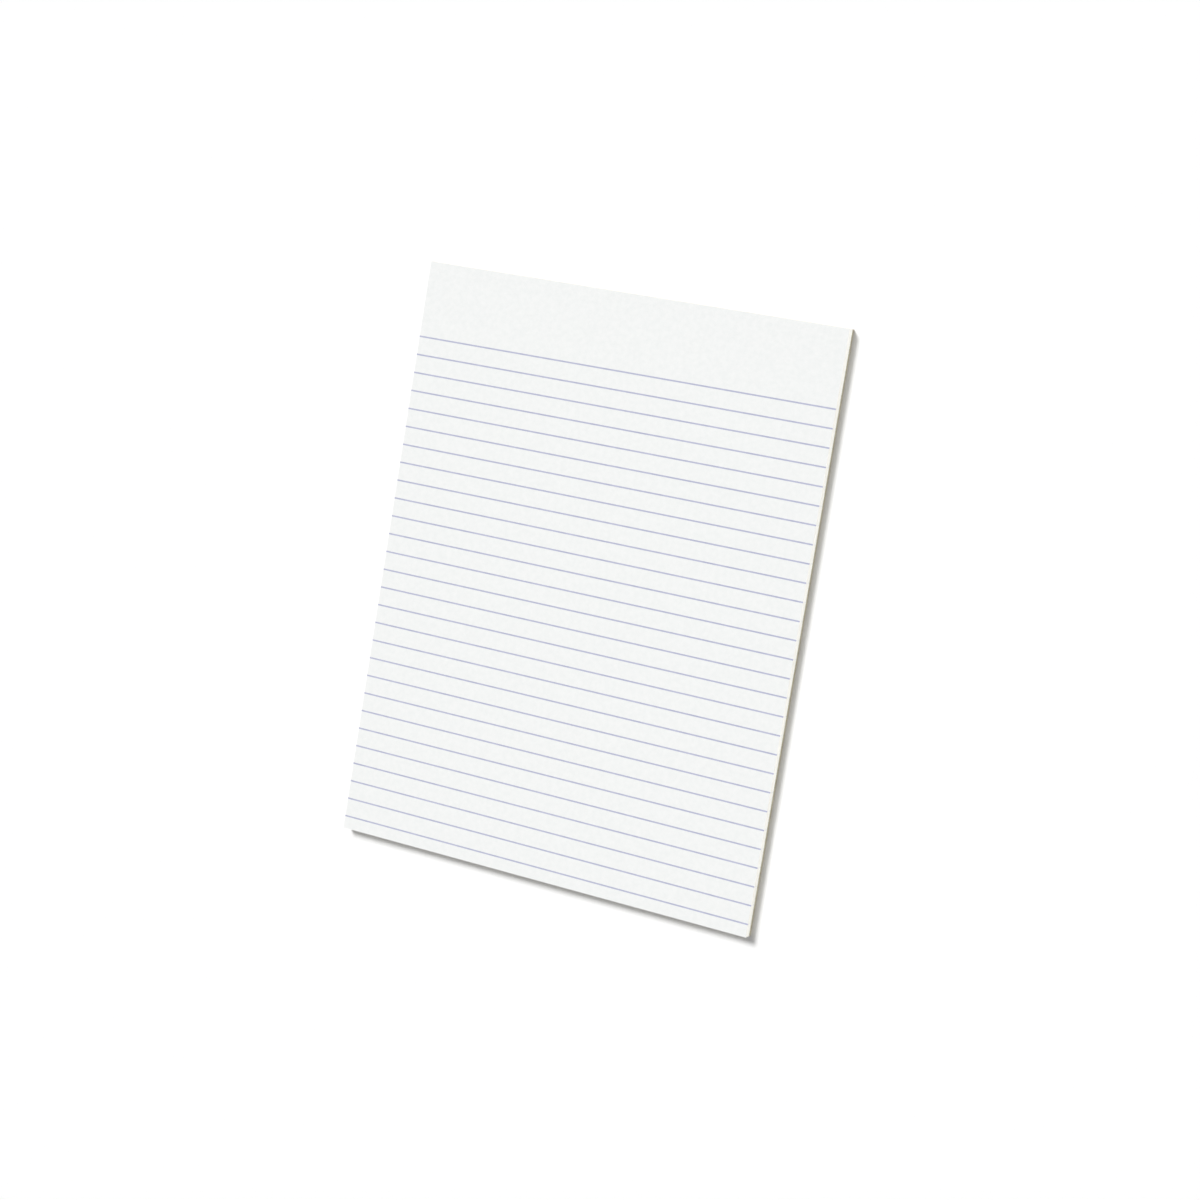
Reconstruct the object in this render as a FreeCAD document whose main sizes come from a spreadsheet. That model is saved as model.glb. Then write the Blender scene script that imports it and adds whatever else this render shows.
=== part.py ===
import FreeCAD, Part
import os
import Sketcher

# White wide-ruled writing pad: a block of loose sheets held only by the glue brushed on its
# head edge, on a chipboard back trimmed flush with the sheets. Units are millimetres.
# The pad lies on its back. X runs across the page, Y runs up the page to the glued head and
# Z comes up out of the writing face. The origin is the middle of the back's underside.

DRIVING_SIZES = {
    "sheet_width": 215.9,      # letter sheet, across the page
    "sheet_length": 279.4,     # letter sheet, foot to head
    "sheet_count": 50,
    "sheet_caliper": 0.08,     # thickness of one sheet
    "board_thickness": 2.0,    # chipboard back
    "glue_thickness": 0.2,     # film of padding glue on the head edge
    "glue_round": 0.12,        # rounding of the film's outer edges
    "head_margin": 36.2,       # head edge to the middle of the first ruled line
    "foot_margin": 5.0,        # least clear paper below the last ruled line
    "line_pitch": 8.78,        # wide ruling
    "line_width": 0.7,         # width of a printed line
    "ink_depth": 0.04,         # how far the ink stands in the paper
}

# What is worked out from the driving sizes, as expressions on the sheet's cells.
STACK_THICKNESS = "sizes.sheet_count * sizes.sheet_caliper"
STACK_TOP = f"sizes.board_thickness + {STACK_THICKNESS}"
FIRST_LINE_Y = "sizes.sheet_length / 2 - sizes.head_margin"
LINE_COUNT = ("floor((sizes.sheet_length - sizes.head_margin - sizes.foot_margin)"
              " / sizes.line_pitch) + 1")


def add_sizes(doc):
    """Puts the driving sizes in a spreadsheet, one aliased cell for each."""
    sheet = doc.addObject("Spreadsheet::Sheet", "sizes")
    for row, (name, value) in enumerate(DRIVING_SIZES.items(), start=1):
        sheet.set(f"A{row}", name)
        sheet.set(f"B{row}", str(value))
        sheet.setAlias(f"B{row}", name)
    doc.recompute()


def add_body(doc, name):
    body = doc.addObject("PartDesign::Body", name)
    body.Label = name
    return body


def add_rectangle(body, name, plane_role, width, height, shift):
    """Sketches a rectangle on an origin plane of the body.

    width and height are expressions, and shift gives the expressions of the rectangle's middle
    as {"x": ..., "y": ..., "z": ...}, with x and y in the plane and z along its normal.
    """
    sketch = body.newObject("Sketcher::SketchObject", name)
    plane = next(f for f in body.Origin.OriginFeatures if f.Role == plane_role)
    sketch.AttachmentSupport = (plane, [""])
    sketch.MapMode = "FlatFace"
    for axis, expression in shift.items():
        sketch.setExpression(f"AttachmentOffset.Base.{axis}", expression)
    corners = [FreeCAD.Vector(x, y, 0) for x, y in ((-1, -1), (1, -1), (1, 1), (-1, 1))]
    for start, end in zip(corners, corners[1:] + corners[:1]):
        sketch.addGeometry(Part.LineSegment(start, end), False)
    for side in range(4):
        sketch.addConstraint(Sketcher.Constraint("Coincident", side, 2, (side + 1) % 4, 1))
    for side, direction in enumerate(("Horizontal", "Vertical", "Horizontal", "Vertical")):
        sketch.addConstraint(Sketcher.Constraint(direction, side))
    sketch.addConstraint(Sketcher.Constraint("Symmetric", 0, 1, 1, 2, -1, 1))
    for side, axis, expression in ((0, "DistanceX", width), (1, "DistanceY", height)):
        size = sketch.addConstraint(Sketcher.Constraint(axis, side, 1, side, 2, 2.0))
        sketch.setExpression(f"Constraints[{size}]", expression)
    return sketch


def add_pad(body, name, sketch, length, side_type="One side", downwards=False):
    pad = body.newObject("PartDesign::Pad", name)
    pad.Profile = sketch
    pad.SideType = side_type
    pad.Reversed = downwards
    pad.setExpression("Length", length)
    return pad


def repeat_down_the_page(body, name, feature, sketch):
    """Repeats the first ruled line's feature at the line pitch, towards the foot."""
    pattern = body.newObject("PartDesign::LinearPattern", name)
    pattern.Originals = [feature]
    pattern.Direction = (sketch, ["V_Axis"])
    pattern.Reversed = True
    pattern.Mode = "Spacing"
    pattern.setExpression("Offset", "sizes.line_pitch")
    pattern.setExpression("Occurrences", LINE_COUNT)
    body.Tip = pattern
    return pattern


def add_line_sketch(body, name):
    """Sketches the first ruled line on the writing face. It runs off both sides of the page."""
    return add_rectangle(body, name, "XY_Plane", "sizes.sheet_width", "sizes.line_width",
                         {"y": FIRST_LINE_Y, "z": STACK_THICKNESS})


def backing_board(doc):
    """Chipboard back, the size of a sheet, that the pad lies on."""
    body = add_body(doc, "backing_board")
    outline = add_rectangle(body, "board_outline", "XY_Plane",
                            "sizes.sheet_width", "sizes.sheet_length", {})
    add_pad(body, "board_pad", outline, "sizes.board_thickness")
    return body


def sheets(doc):
    """All the sheets as one block, with a shallow channel for the ink of each ruled line."""
    body = add_body(doc, "sheets")
    outline = add_rectangle(body, "sheet_outline", "XY_Plane",
                            "sizes.sheet_width", "sizes.sheet_length", {})
    add_pad(body, "stack_pad", outline, STACK_THICKNESS)
    line = add_line_sketch(body, "channel_outline")
    channel = body.newObject("PartDesign::Pocket", "ink_channel")
    channel.Profile = line
    channel.setExpression("Length", "sizes.ink_depth")
    repeat_down_the_page(body, "ink_channels", channel, line)
    body.setExpression("Placement.Base.z", "sizes.board_thickness")
    return body


def ruled_lines(doc):
    """The printed lines, one bar of ink in each channel, level with the writing face."""
    body = add_body(doc, "ruled_lines")
    body.AllowCompound = True
    line = add_line_sketch(body, "line_outline")
    bar = add_pad(body, "ink_bar", line, "sizes.ink_depth", downwards=True)
    repeat_down_the_page(body, "ink_bars", bar, line)
    body.setExpression("Placement.Base.z", "sizes.board_thickness")
    return body


def glue_edge(doc):
    """Film of padding glue on the head edge, which holds the sheets and the back together."""
    body = add_body(doc, "glue_edge")
    section = add_rectangle(body, "film_section", "YZ_Plane", "sizes.glue_thickness", STACK_TOP,
                            {"x": "sizes.glue_thickness / 2", "y": f"({STACK_TOP}) / 2"})
    film = add_pad(body, "film_pad", section, "sizes.sheet_width", side_type="Symmetric")
    doc.recompute()
    outer_y = film.Shape.BoundBox.YMax
    outer_edges = [f"Edge{number}" for number, edge in enumerate(film.Shape.Edges, start=1)
                   if all(abs(vertex.Y - outer_y) < 1e-6 for vertex in edge.Vertexes)]
    rounding = body.newObject("PartDesign::Fillet", "film_rounding")
    rounding.Base = (film, outer_edges)
    rounding.setExpression("Radius", "min(sizes.glue_round; 0.8 * sizes.glue_thickness)")
    body.Tip = rounding
    body.setExpression("Placement.Base.y", "sizes.sheet_length / 2")
    return body


def check_and_export(doc, bodies):
    """Stops at a failed feature or a bad solid, and otherwise writes each sub-part's file."""
    failed = [item.Name for item in doc.Objects if {"Invalid", "Error"} & set(item.State)]
    bad = [body.Label for body in bodies if body.Shape.isNull() or not body.Shape.isValid()]
    if failed or bad:
        raise RuntimeError(f"failed features {failed}, bad solids {bad}")
    stack = next(body for body in bodies if body.Label == "sheets")
    bars = next(body for body in bodies if body.Label == "ruled_lines")
    uncut = stack.getObject("stack_pad").Shape.Volume
    if abs(uncut - stack.Shape.Volume - bars.Shape.Volume) > 1e-3:
        raise RuntimeError("the ink bars don't fill the channels cut for them")
    os.makedirs("parts", exist_ok=True)
    for body in bodies:
        body.Shape.exportStep(f"parts/{body.Label}.step")
        print(body.Label, len(body.Shape.Solids), "solids", round(body.Shape.Volume, 3), "mm3")


doc = FreeCAD.newDocument("writing_pad")
add_sizes(doc)
bodies = [backing_board(doc), sheets(doc), ruled_lines(doc), glue_edge(doc)]
doc.recompute()
check_and_export(doc, bodies)
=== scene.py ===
from math import cos, floor, pi, radians, sin

import bpy
import numpy as np
from mathutils import Matrix, Vector


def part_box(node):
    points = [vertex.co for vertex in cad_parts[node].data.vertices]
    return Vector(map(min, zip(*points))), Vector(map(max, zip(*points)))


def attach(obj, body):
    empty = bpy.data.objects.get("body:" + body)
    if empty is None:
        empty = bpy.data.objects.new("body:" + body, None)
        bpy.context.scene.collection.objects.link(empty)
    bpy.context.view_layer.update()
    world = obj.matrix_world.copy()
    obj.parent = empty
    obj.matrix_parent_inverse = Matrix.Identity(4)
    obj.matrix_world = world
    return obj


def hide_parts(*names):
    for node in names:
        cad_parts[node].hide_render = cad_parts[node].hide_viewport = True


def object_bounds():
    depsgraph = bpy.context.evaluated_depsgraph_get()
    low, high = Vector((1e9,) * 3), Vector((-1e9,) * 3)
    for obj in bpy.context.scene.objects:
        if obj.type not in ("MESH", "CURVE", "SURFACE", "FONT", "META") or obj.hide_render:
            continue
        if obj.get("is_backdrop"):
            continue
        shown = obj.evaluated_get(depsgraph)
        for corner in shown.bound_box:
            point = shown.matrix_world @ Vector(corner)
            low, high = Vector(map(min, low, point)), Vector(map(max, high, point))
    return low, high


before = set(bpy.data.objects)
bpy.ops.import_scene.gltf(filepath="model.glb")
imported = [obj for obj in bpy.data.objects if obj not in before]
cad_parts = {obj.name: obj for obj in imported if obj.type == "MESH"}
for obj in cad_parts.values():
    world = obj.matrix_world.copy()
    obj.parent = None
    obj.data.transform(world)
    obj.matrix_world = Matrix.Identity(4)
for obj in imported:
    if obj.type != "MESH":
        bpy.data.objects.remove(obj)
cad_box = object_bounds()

mm = 0.001

# The block of sheets. Fifty letter sheets of thin white bond paper, jogged square and cut with
# one stroke of a guillotine, so the sides of the block are flat but show every sheet. The cut
# edges are creamier than the face, and only the glue at the head holds the sheets together.
sheet_count = 50
ink_stand = 0.02 * mm          # the printed ink stands this far above the paper
gap_depth = 0.015 * mm         # how far the line between two sheets goes in
jog_at_head = 0.006 * mm       # how far sheets lie out of line where the glue holds them
jog_at_foot = 0.035 * mm       # and at the foot, where they are free
jog_waves = 9                  # most waves of a sheet's edge, once round the block
side_step = 4.0 * mm
corner_angle = radians(40)     # faces that meet more sharply than this aren't shaded as one

block_low, block_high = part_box("sheets")
ruling_low, ruling_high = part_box("ruled_lines")
paper_top = block_high.z - ink_stand
caliper = (paper_top - block_low.z) / sheet_count


def way_round(low, high, step):
    """Walks once round a rectangle, anticlockwise from its low corner, in equal steps.

    Gives the points as (n, 2), and for each the way outwards: one unit across the side it is
    on, and one unit across both sides at a corner.
    """
    across = np.linspace(low.x, high.x, round((high.x - low.x) / step) + 1)
    along = np.linspace(low.y, high.y, round((high.y - low.y) / step) + 1)
    x = np.concatenate([across, np.full(len(along) - 2, high.x),
                        across[::-1], np.full(len(along) - 2, low.x)])
    y = np.concatenate([np.full(len(across), low.y), along[1:-1],
                        np.full(len(across), high.y), along[-2:0:-1]])
    outwards = np.stack([(x == high.x) * 1.0 - (x == low.x), (y == high.y) * 1.0 - (y == low.y)], 1)
    return np.stack([x, y], 1), outwards


def ripple(random, rows, columns, most_waves):
    """A smooth random height for each row and column, between about -1 and 1.

    Each row is a sum of cosines that close after one turn round the block: the k-th has k waves,
    a random phase and a share of one over the square root of k.
    """
    turn = np.linspace(0, 2 * pi, columns, endpoint=False)
    waves = np.arange(1, most_waves + 1)
    phase = random.uniform(0, 2 * pi, (rows, most_waves, 1))
    share = random.normal(0, 1, (rows, most_waves, 1)) / np.sqrt(waves)[:, None]
    heights = (share * np.cos(waves[:, None] * turn + phase)).sum(1)
    return heights / np.abs(heights).max()


def walled_block(name, points, outwards, inset, levels):
    """A closed block with a modelled side: row i, column j is points[j] - outwards[j] * inset[i, j]
    at height levels[i]. The first and last rows are closed with a flat face each.
    """
    rows, columns = inset.shape
    flat = points[None] - outwards[None] * inset[..., None]
    height = np.broadcast_to(levels[:, None, None], (rows, columns, 1))
    places = np.concatenate([flat, height], 2).reshape(-1, 3)
    index = np.arange(rows * columns).reshape(rows, columns)
    onward = np.roll(index, -1, axis=1)
    walls = np.stack([index[:-1], onward[:-1], onward[1:], index[1:]], -1).reshape(-1, 4)
    mesh = bpy.data.meshes.new(name)
    mesh.from_pydata(places, [], walls.tolist() + [index[0, ::-1].tolist(), index[-1].tolist()])
    mesh.polygons.foreach_set("use_smooth", np.arange(len(walls) + 2) < len(walls))
    mesh.set_sharp_from_angle(angle=corner_angle)
    block = bpy.data.objects.new(name, mesh)
    bpy.context.scene.collection.objects.link(block)
    return block


round_sheets, off_sheets = way_round(block_low, block_high, side_step)
looseness = (block_high.y - round_sheets[:, 1]) / (block_high.y - block_low.y)
jog = jog_at_head + (jog_at_foot - jog_at_head) * looseness
waves_of_sheets = ripple(np.random.default_rng(50), sheet_count, len(round_sheets), jog_waves)
sheet_inset = (1 + waves_of_sheets) * jog
edge_form = np.array([gap_depth, 0.0, 0.0])      # inset at the foot, a third and two thirds up
edge_rise = np.array([0.0, 0.3, 0.7])
inset = (sheet_inset[:, None] + edge_form[:, None]).reshape(-1, len(round_sheets))
levels = ((np.arange(sheet_count)[:, None] + edge_rise) * caliper).ravel()
block = walled_block("paper_block", round_sheets, off_sheets,
                     np.vstack([inset, sheet_inset[-1:]]),
                     block_low.z + np.append(levels, sheet_count * caliper))


class Signal:
    """A socket of a shader node. Arithmetic on signals and numbers adds the Math nodes for it."""

    def __init__(self, tree, socket):
        self.tree = tree
        self.socket = socket

    def node(self, kind, settings=None, sockets=None, output=0):
        """Adds a node, makes its settings, and fills its sockets with values or signals."""
        made = self.tree.nodes.new(kind)
        for name, value in (settings or {}).items():
            setattr(made, name, value)
        for name, value in (sockets or {}).items():
            if isinstance(value, Signal):
                self.tree.links.new(value.socket, made.inputs[name])
            else:
                made.inputs[name].default_value = value
        return Signal(self.tree, made.outputs[output]) if made.outputs else None

    def maths(self, operation, *others):
        operands = dict(enumerate((self, *others)))
        return self.node("ShaderNodeMath", {"operation": operation}, operands)

    def __add__(self, other):
        return self.maths("ADD", other)

    def __sub__(self, other):
        return self.maths("SUBTRACT", other)

    def __rsub__(self, other):
        return self * -1 + other

    def __mul__(self, other):
        return self.maths("MULTIPLY", other)

    def __truediv__(self, other):
        return self.maths("DIVIDE", other)

    def __abs__(self):
        return self.maths("ABSOLUTE")

    def __floor__(self):
        return self.maths("FLOOR")

    def __round__(self, digits=None):
        return self.maths("ROUND")

    __radd__ = __add__
    __rmul__ = __mul__


def new_finish(name):
    """Starts a material, and gives it with the place on the piece as a signal."""
    material = bpy.data.materials.new(name)
    material.use_nodes = True
    material.node_tree.nodes.clear()
    coordinates = material.node_tree.nodes.new("ShaderNodeTexCoord")
    return material, Signal(material.node_tree, coordinates.outputs["Object"])


def end_finish(place, sockets):
    """Ends a material with one surface shader that has these sockets."""
    surface = place.node("ShaderNodeBsdfPrincipled", None, sockets)
    place.node("ShaderNodeOutputMaterial", None, {"Surface": surface})


def screen_colour(*levels):
    """The shader's value of a colour given by its three levels on a screen, from 0 to 255."""
    share = np.array(levels) / 255
    return (*np.where(share > 0.04045, ((share + 0.055) / 1.055) ** 2.4, share / 12.92), 1.0)


def grain(place, size, detail=3.0, stretch=(1, 1, 1)):
    """Cloudy noise from 0 to 1 with lumps about size across, drawn out along an axis by stretch."""
    scaled = place.node("ShaderNodeVectorMath", {"operation": "DIVIDE"}, {0: place, 1: stretch})
    return place.node("ShaderNodeTexNoise", None,
                      {"Vector": scaled, "Scale": 1 / size, "Detail": detail})


def ramp(signal, low, high):
    """Rises smoothly from 0 where the signal is low to 1 where it is high."""
    return signal.node("ShaderNodeMapRange", {"interpolation_type": "SMOOTHSTEP"},
                       {"Value": signal, "From Min": low, "From Max": high})


def mix(share, first, second):
    """The first colour where the share is 0, and the second where it is 1."""
    return share.node("ShaderNodeMix", {"data_type": "RGBA"}, {0: share, 6: first, 7: second},
                      output=2)


def axis_of(place, axis):
    return place.node("ShaderNodeSeparateXYZ", None, {0: place}, output="XYZ".index(axis))


def white_bond():
    """The writing face: bright white, matt, with the faint clouds and nap of thin bond paper."""
    material, place = new_finish("white_bond")
    clouds = grain(place, 2.2 * mm, 4.0)
    fibres = grain(place, 0.35 * mm, 5.0, stretch=(1, 2.5, 1))
    tone = ramp(clouds * 0.6 + fibres * 0.4, 0.3, 0.7)
    nap = fibres.node("ShaderNodeBump", None, {"Height": fibres, "Distance": 0.004 * mm})
    end_finish(place, {
        "Base Color": mix(tone, screen_colour(241, 243, 242), screen_colour(247, 248, 247)),
        "Roughness": 0.9, "Specular IOR Level": 0.25, "Normal": nap})
    return material


line_width = 0.7 * mm
line_pitch = 8.78 * mm


def sheets_up(place):
    """The number of the sheet that a place on the side is on, and a share that rises from 0 in the
    sheet to 1 where it meets the next, used to paint shade between the sheets."""
    up = (axis_of(place, "Z") - block_low.z) / caliper
    number = floor(up)
    return number, ramp(abs(up - number - 0.5), 0.36, 0.5)


def cut_edge():
    """The guillotined side: cream, with painted shade between sheets and in long random bands
    across groups of sheets, scored by the knife, and barely touched with blue where the ruling of
    every sheet runs off the side."""
    material, place = new_finish("cut_edge")
    # The share from sheets_up paints shade on the cream where one sheet meets the next.
    number, gap_shade = sheets_up(place)
    shade = number.node("ShaderNodeTexWhiteNoise", {"noise_dimensions": "1D"}, {"W": number})
    # Painted shade in long random bands a few sheets high, for the shadow lines of sheets that lie
    # out of line.
    loose_band_shade = ramp(grain(place, 0.4 * mm, 3.0, stretch=(70, 70, 1)), 0.46, 0.62)
    score = grain(place, 0.3 * mm, 3.0, stretch=(1, 1, 25))
    # The mix of painted shade between sheets and in bands, each sheet's own random tone, and the
    # knife's scoring.
    marks_and_shade = 0.3 * gap_shade + 0.15 * shade + 0.4 * loose_band_shade + 0.15 * score
    cream = mix(marks_and_shade, screen_colour(253, 253, 248), screen_colour(235, 230, 218))
    lines_down = (ruling_high.y - line_width / 2 - axis_of(place, "Y")) / line_pitch
    off_line = abs(lines_down - round(lines_down)) * line_pitch
    on_line = 1 - ramp(off_line, 0.3 * line_width, 0.6 * line_width)
    ruled = on_line * ramp(lines_down, -0.5, -0.4) * (0.04 + 0.1 * shade)
    end_finish(place, {
        "Base Color": mix(ruled, cream, screen_colour(128, 158, 190)),
        "Roughness": 0.9, "Specular IOR Level": 0.25,
        "Normal": score.node("ShaderNodeBump", None, {"Height": score, "Distance": 0.01 * mm})})
    return material


block.data.materials.append(cut_edge())
block.data.materials.append(white_bond())
block.data.polygons[-1].material_index = 1       # the face at the top was made last
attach(block, "root")
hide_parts("sheets")

# The ruling. Pale blue lines printed on every sheet at the wide spacing, thin enough that the
# ink takes up a little unevenly along the line. They run off both sides of the sheet.


def ruling_ink():
    material, place = new_finish("ruling_ink")
    uptake = ramp(grain(place, 1.5 * mm, 4.0, stretch=(3, 1, 1)), 0.25, 0.75)
    end_finish(place, {
        "Base Color": mix(uptake, screen_colour(178, 181, 206), screen_colour(192, 194, 217)),
        "Roughness": 0.85, "Specular IOR Level": 0.25})
    return material


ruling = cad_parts["ruled_lines"]
ruling.data.materials.clear()
ruling.data.materials.append(ruling_ink())

# The back. Grey-brown chipboard pressed from waste paper, two millimetres thick and cut by the
# same stroke as the sheets. Its cut edge shows the layers of the board, a little crushed below.
board_layers = 12
board_step = 2.0 * mm
layer_relief = 0.03 * mm
layer_waves = 60
layer_spread = 0.8             # below 1, the lower layers are the thicker ones
crushed_round = 0.15 * mm

board_low, board_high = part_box("backing_board")
round_board, off_board = way_round(board_low, board_high, board_step)
layer_heights = np.linspace(0, 1, board_layers + 1) ** layer_spread * (board_high.z - board_low.z)
waves_of_layers = ripple(np.random.default_rng(7), board_layers + 1, len(round_board), layer_waves)
relief = (1 + waves_of_layers) * layer_relief
below = np.clip(1 - layer_heights / crushed_round, 0, 1)
crush = crushed_round * (1 - np.sqrt(1 - below ** 2))
board = walled_block("chipboard_back", round_board, off_board,
                     relief + crush[:, None], board_low.z + layer_heights)


def chipboard():
    """Grey-brown fibres with dark and pale flecks of the paper that the board was made from. The
    layers show on the cut edge alone."""
    material, place = new_finish("chipboard")
    pulp = grain(place, 0.8 * mm, 6.0, stretch=(1, 1.6, 0.4))
    clouds = grain(place, 9 * mm, 2.0)
    layers = grain(place, 0.3 * mm, 3.0, stretch=(25, 25, 1))
    on_edge = ramp(axis_of(place, "Z"), board_low.z, board_low.z + crushed_round)
    flecks = place.node("ShaderNodeTexVoronoi", None, {"Vector": place, "Scale": 1 / (2.2 * mm)})
    fleck_kind = grain(place, 1.6 * mm, 1.0)
    tone = pulp * 0.8 + clouds * 0.2 + (layers - 0.5) * 0.5 * on_edge
    pulp_colour = mix(ramp(tone, 0.32, 0.68),
                      screen_colour(152, 146, 125), screen_colour(183, 177, 156))
    dark = (1 - ramp(flecks, 0.12, 0.26)) * ramp(fleck_kind, 0.52, 0.6)
    pale = (1 - ramp(flecks, 0.12, 0.26)) * (1 - ramp(fleck_kind, 0.4, 0.48))
    flecked = mix(dark * 0.6, pulp_colour, screen_colour(78, 72, 66))
    end_finish(place, {
        "Base Color": mix(pale * 0.55, flecked, screen_colour(196, 189, 174)),
        "Roughness": 0.95, "Specular IOR Level": 0.2,
        "Normal": pulp.node("ShaderNodeBump", None, {"Height": pulp, "Distance": 0.05 * mm})})
    return material


board.data.materials.append(chipboard())
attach(board, "root")
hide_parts("backing_board")

# The glue at the head. Milky padding compound brushed along the clamped head edge in two coats and
# cut with the pad, so its face is slightly wavy and its rim thins out to nothing. It dries clear
# enough for the brown board to show through, with painted shade lines between the sheets beneath
# it.
film_step = 1.0 * mm
film_rows = 24
rim_reach = 0.35 * mm
rim_share = 0.1                # share of the film's thickness that is left at its rim
brush_wave = 0.3               # share of the film's thickness that the brush leaves uneven
brush_waves = 40
film_blur = 0.08 * mm          # how far the film blurs what shows through it

film_low, film_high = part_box("glue_edge")


def brushed_film(name, low, high):
    """A film on the plane y = low.y, from low.x to high.x and from low.z to high.z.

    Its thickness is the CAD film's, less a wave along the brush stroke, and falls to the rim's
    share as a quarter of an ellipse does. The same grid at zero thickness closes the back.
    """
    x = np.linspace(low.x, high.x, round((high.x - low.x) / film_step) + 1)
    z = low.z + (high.z - low.z) * (1 - np.cos(np.linspace(0, pi, film_rows))) / 2
    random = np.random.default_rng(3)
    streak = ripple(random, film_rows, len(x), brush_waves)
    streak = (streak + np.roll(streak, 1, 0) + np.roll(streak, 2, 0)) / 3
    to_rim = np.minimum.outer(np.minimum(z - low.z, high.z - z), np.minimum(x - low.x, high.x - x))
    rim = np.clip(to_rim / rim_reach, 0, 1)
    fullness = np.sqrt(1 - (1 - rim) ** 2)
    full = (high.y - low.y) * (1 - brush_wave * (0.5 + 0.5 * streak))
    front = low.y + full * (rim_share + (1 - rim_share) * fullness)
    back = np.full_like(front, low.y)
    across, up = np.meshgrid(x, z)
    places = np.concatenate([np.stack([across, y, up], -1).reshape(-1, 3) for y in (front, back)])
    index = np.arange(2 * front.size).reshape(2, *front.shape)
    quads = [np.stack([s[:-1, :-1], s[1:, :-1], s[1:, 1:], s[:-1, 1:]], -1).reshape(-1, 4)
             for s in (index[0], index[1, :, ::-1])]
    rims = [np.stack([f[:-1], f[1:], b[1:], b[:-1]], -1) for f, b in (
        (index[0, 0], index[1, 0]), (index[0, ::-1, 0], index[1, ::-1, 0]),
        (index[0, -1, ::-1], index[1, -1, ::-1]), (index[0, :, -1], index[1, :, -1]))]
    mesh = bpy.data.meshes.new(name)
    mesh.from_pydata(places, [], np.concatenate(quads + rims).tolist())
    mesh.polygons.foreach_set("use_smooth", np.ones(len(mesh.polygons), bool))
    film = bpy.data.objects.new(name, mesh)
    bpy.context.scene.collection.objects.link(film)
    return film


def padding_glue():
    """Milky and slightly glossy. Where the brush left it thin, more shows through: painted shade as
    fine lines between the sheets' edges, and the board as a brown band."""
    material, place = new_finish("padding_glue")
    strokes = grain(place, 0.5 * mm, 3.0, stretch=(30, 1, 1))
    body = grain(place, 3 * mm, 3.0, stretch=(4, 1, 1))
    thin = ramp(strokes * 0.6 + body * 0.4, 0.35, 0.65)
    # Painted shade lines between the sheets' edges under the glue, stronger where the glue is thin.
    _, gap_shade = sheets_up(place)
    over_sheets = mix(gap_shade * (0.3 + 0.4 * thin), screen_colour(243, 241, 232),
                      screen_colour(214, 208, 192))
    to_board = 1 - ramp(axis_of(place, "Z"), board_high.z - film_blur, board_high.z + film_blur)
    end_finish(place, {
        "Base Color": mix(to_board * (0.5 + 0.3 * thin), over_sheets, screen_colour(170, 163, 143)),
        "Roughness": 0.28 + 0.25 * strokes,
        "Normal": strokes.node("ShaderNodeBump", None, {"Height": strokes, "Distance": 0.02 * mm})})
    return material


film = brushed_film("glue_film", film_low, film_high)
film.data.materials.append(padding_glue())
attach(film, "root")
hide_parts("glue_edge")

# The table: a plain white surface without an edge in view. It keeps the pad's shadow, and
# throws back less light than it seems to, as a real white table does.
table_reach = 5.0
table_bounce = 0.8


def seen_directly(start):
    """1 for light that goes to the eye, straight or by way of a mirror or glass, and else 0."""
    straight, mirrored, passed_through = (
        start.node("ShaderNodeLightPath", output=ray)
        for ray in ("Is Camera Ray", "Is Glossy Ray", "Is Transmission Ray"))
    return (straight + mirrored + passed_through).maths("MINIMUM", 1.0)


def white_table():
    material, place = new_finish("white_table")
    grey = (table_bounce, table_bounce, table_bounce, 1)
    end_finish(place, {"Base Color": mix(seen_directly(place), grey, (1, 1, 1, 1)),
                       "Roughness": 1.0, "Specular IOR Level": 0.0})
    return material


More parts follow.
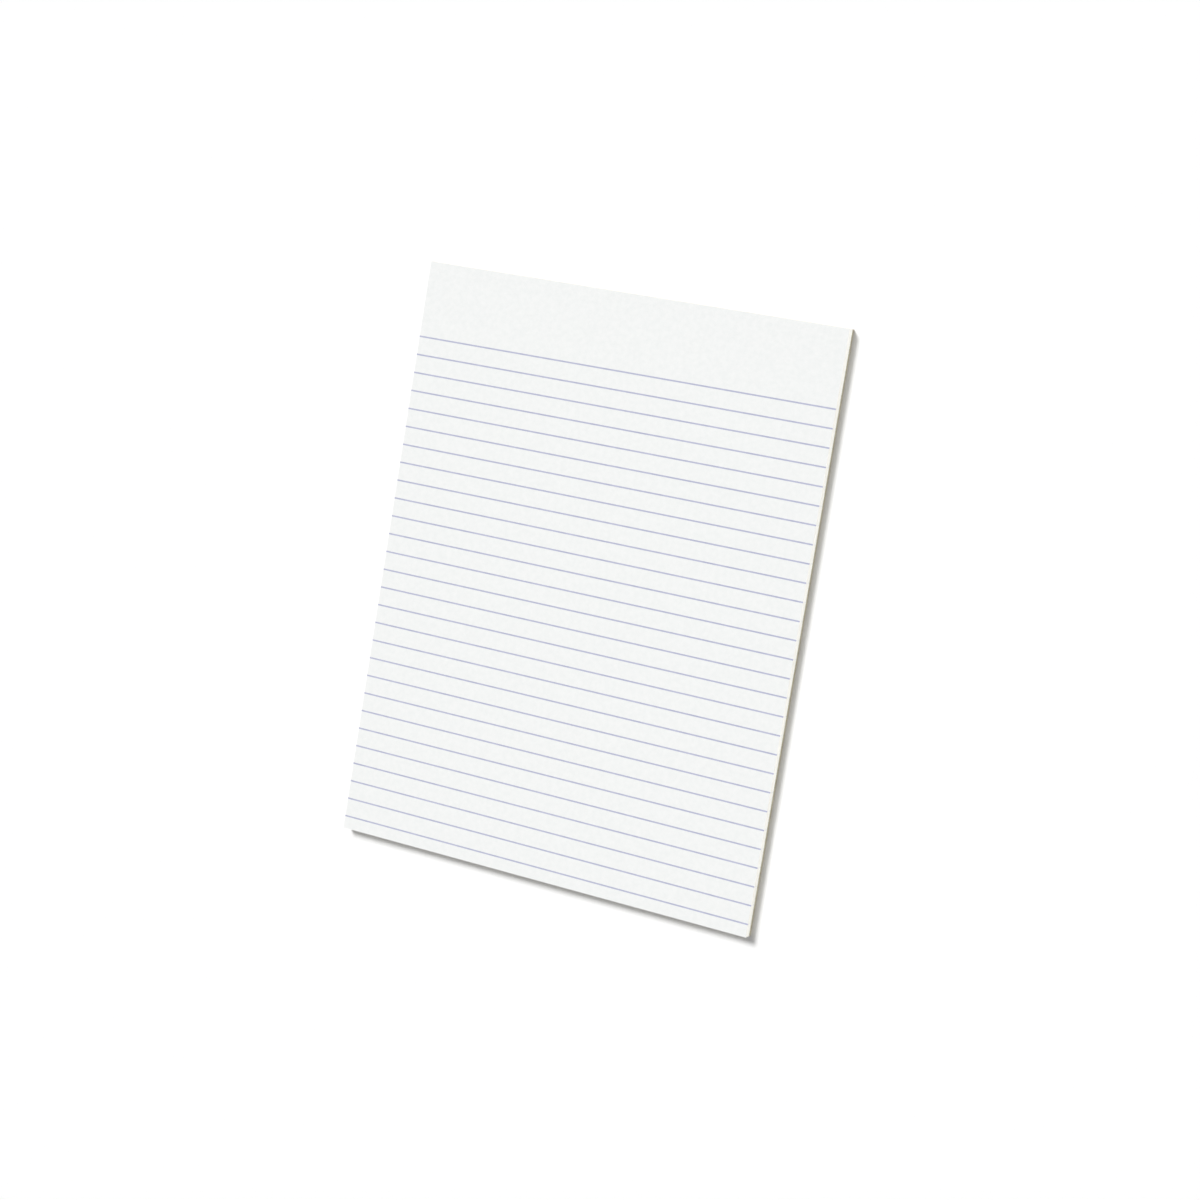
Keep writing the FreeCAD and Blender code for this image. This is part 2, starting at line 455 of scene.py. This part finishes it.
reach = np.array([-table_reach, table_reach])
corners = np.stack([*np.meshgrid(reach, reach), np.full((2, 2), board_low.z)], -1).reshape(-1, 3)
table_mesh = bpy.data.meshes.new("table")
table_mesh.from_pydata(corners, [], [(0, 1, 3, 2)])
table = bpy.data.objects.new("table", table_mesh)
table_mesh.materials.append(white_table())
bpy.context.scene.collection.objects.link(table)
table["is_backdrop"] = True

# The light: an even white room and a large soft lamp above the pad's head and left side, which
# throws a short shadow to the right and below. A weak one from low on the right stands for the
# glow of a white wall on the cut side, and throws no shadow.
room_light = 0.26
key_light = 0.70               # each lamp's share of the light on the table
fill_light = 0.038
key_slant = radians(39.5)      # from straight above
key_from = radians(127.4)      # anticlockwise from the page's +X
key_width = radians(21)
fill_slant = radians(86)
fill_from = radians(-15)
fill_width = radians(20)


def far_lamp(name, share, slant, bearing, width, shadow):
    """A lamp so far off that its light is even. share is what it gives a level surface, where 1
    shows a colour as it is written."""
    lamp = bpy.data.lights.new(name, "SUN")
    lamp.energy = share * pi / cos(slant)
    lamp.angle = width
    lamp.use_shadow = shadow
    holder = bpy.data.objects.new(name, lamp)
    towards = Vector((sin(slant) * cos(bearing), sin(slant) * sin(bearing), cos(slant)))
    holder.rotation_euler = towards.to_track_quat("Z", "Y").to_euler()
    bpy.context.scene.collection.objects.link(holder)


far_lamp("key_lamp", key_light, key_slant, key_from, key_width, shadow=True)
far_lamp("fill_lamp", fill_light, fill_slant, fill_from, fill_width, shadow=False)

world = bpy.data.worlds.new("white_room")
world.use_nodes = True
world.node_tree.nodes.clear()
room = Signal(world.node_tree, None)
strength = room_light + (1 - room_light) * seen_directly(room)
backdrop = room.node("ShaderNodeBackground", None, {"Color": (1, 1, 1, 1), "Strength": strength})
room.node("ShaderNodeOutputWorld", None, {"Surface": backdrop})
bpy.context.scene.world = world

# The camera stands to the right of the pad and looks down on it, with the page turned a little
# clockwise in the picture. The picture was cut off centre, which the shift makes good.
page_middle = Vector((0, 0, block_high.z))
eye = page_middle + Vector((503.5, 136.0, 1076.5)) * mm
aim = page_middle + Vector((3.0, 24.2, 0.0)) * mm
page_turn = radians(10.21)
lens = 76.8
picture_shift = (0.0015, -0.0494)

view = (aim - eye).normalized()
right = view.cross(Vector((-sin(page_turn), cos(page_turn), 0))).normalized()
camera_data = bpy.data.cameras.new("camera")
camera_data.lens = lens
camera_data.shift_x, camera_data.shift_y = picture_shift
camera = bpy.data.objects.new("camera", camera_data)
camera.location = eye
camera.rotation_euler = Matrix((right, right.cross(view), -view)).transposed().to_euler()
bpy.context.scene.collection.objects.link(camera)
bpy.context.scene.camera = camera
bpy.context.scene.view_settings.view_transform = "Standard"

boxes = {"cad": cad_box, "visual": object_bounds()}
{name: [list(corner) for corner in box] for name, box in boxes.items()}
